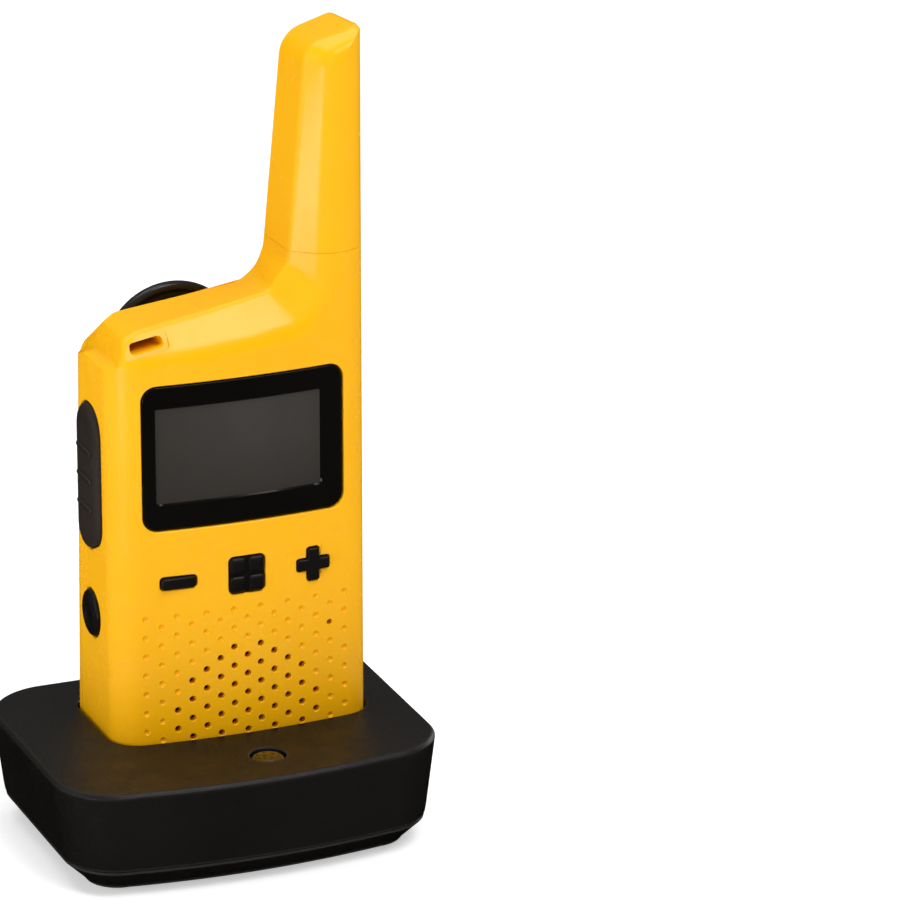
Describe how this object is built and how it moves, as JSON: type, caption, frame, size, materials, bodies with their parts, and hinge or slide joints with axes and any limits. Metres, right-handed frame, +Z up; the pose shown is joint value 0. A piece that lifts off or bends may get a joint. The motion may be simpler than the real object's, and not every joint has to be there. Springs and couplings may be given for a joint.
{
  "type": "two way radio",
  "caption": "Handheld two way radio with fixed side antenna, display window, keys, push-to-talk bar and belt clip, seated in a drop-in charging cradle.",
  "frame": {"origin": "middle of the whole object's box, on the surface the cradle stands on", "axes": "+Z up along the antenna, -Y the radio's front, +X the antenna's side"},
  "size_m": [0.0828, 0.0672, 0.1712],
  "materials": {
    "housing": "glossy moulded yellow shell",
    "antenna": "glossy moulded yellow antenna cover",
    "keys": "black moulded rubber keys",
    "ptt": "dark warm grey soft rubber",
    "window": "clear-coated black window",
    "screen": "unlit liquid crystal display",
    "clip": "satin black moulded clip",
    "cradle": "fine-grained black moulding",
    "foot": "soft rubber pad",
    "indicator": "smoked plastic lens",
    "steel": "plain steel",
    "contact": "gold plated contact",
    "board": "solder-masked circuit board",
    "inner_plastic": "plain black moulding",
    "cell": "shrink-wrapped rechargeable cell"
  },
  "bodies": {
    "cradle": {"cradle_shell": "cradle", "cradle_base": "cradle", "base_screw_1": "steel", "base_screw_2": "steel", "base_screw_3": "steel", "base_screw_4": "steel", "foot_1": "foot", "foot_2": "foot", "foot_3": "foot", "foot_4": "foot", "cradle_board": "board", "usb_socket": "steel", "indicator_lens": "indicator"},
    "charge_pin_left": {"charge_pin_1": "contact"},
    "charge_pin_right": {"charge_pin_2": "contact"},
    "radio": {"front_housing": "housing", "rear_housing": "housing", "antenna_cover": "antenna", "antenna_core": "inner_plastic", "antenna_coil": "contact", "display_lens": "window", "lcd_module": "screen", "main_board": "board", "rf_shield": "steel", "minus_dome": "steel", "menu_dome": "steel", "plus_dome": "steel", "ptt_switch": "inner_plastic", "side_switch": "inner_plastic", "speaker_basket": "steel", "speaker_cone": "inner_plastic", "speaker_magnet": "steel", "microphone": "steel", "housing_screw_1": "steel", "housing_screw_2": "steel", "housing_screw_3": "steel", "housing_screw_4": "steel", "battery_bay": "inner_plastic", "battery_cell_1": "cell", "battery_cell_2": "cell", "battery_cell_3": "cell", "battery_contact_low": "steel", "battery_contact_high": "steel", "charge_pad_1": "contact", "charge_pad_2": "contact"},
    "minus_key": {"minus_button": "keys"},
    "menu_key": {"menu_button": "keys"},
    "plus_key": {"plus_button": "keys"},
    "ptt_bar": {"ptt_button": "ptt"},
    "side_key": {"side_button": "keys"},
    "battery_cover": {"battery_door": "housing", "clip_bracket": "clip", "clip_pin": "steel", "clip_spring": "steel"},
    "clip_arm": {"belt_clip": "clip"}
  },
  "joints": [
    {"name": "radio_lift", "type": "slide", "parent": "cradle", "child": "radio", "axis": [0, 0, 1], "range_m": [0, 0.06]},
    {"name": "charge_pin_left_press", "type": "slide", "parent": "cradle", "child": "charge_pin_left", "axis": [0, 0, 1], "range_m": [-0.0015, 0], "stiffness_N_per_m": 300},
    {"name": "charge_pin_right_press", "type": "slide", "parent": "cradle", "child": "charge_pin_right", "axis": [0, 0, 1], "range_m": [-0.0015, 0], "stiffness_N_per_m": 300},
    {"name": "minus_press", "type": "slide", "parent": "radio", "child": "minus_key", "axis": [0, 1, 0], "range_m": [0, 0.0006], "stiffness_N_per_m": 1500},
    {"name": "menu_press", "type": "slide", "parent": "radio", "child": "menu_key", "axis": [0, 1, 0], "range_m": [0, 0.0006], "stiffness_N_per_m": 1500},
    {"name": "plus_press", "type": "slide", "parent": "radio", "child": "plus_key", "axis": [0, 1, 0], "range_m": [0, 0.0006], "stiffness_N_per_m": 1500},
    {"name": "ptt_press", "type": "slide", "parent": "radio", "child": "ptt_bar", "axis": [1, 0, 0], "range_m": [0, 0.0008], "stiffness_N_per_m": 2000},
    {"name": "side_press", "type": "slide", "parent": "radio", "child": "side_key", "axis": [1, 0, 0], "range_m": [0, 0.0006], "stiffness_N_per_m": 1500},
    {"name": "door_release", "type": "slide", "parent": "radio", "child": "battery_cover", "axis": [0, 1, 0], "range_m": [0, 0.03]},
    {"name": "clip_pinch", "type": "hinge", "parent": "battery_cover", "child": "clip_arm", "pos_m": [0.0038, 0.02642, 0.0819], "axis": [1, 0, 0], "range_deg": [0, 15], "stiffness_Nm_per_rad": 1}
  ]
}
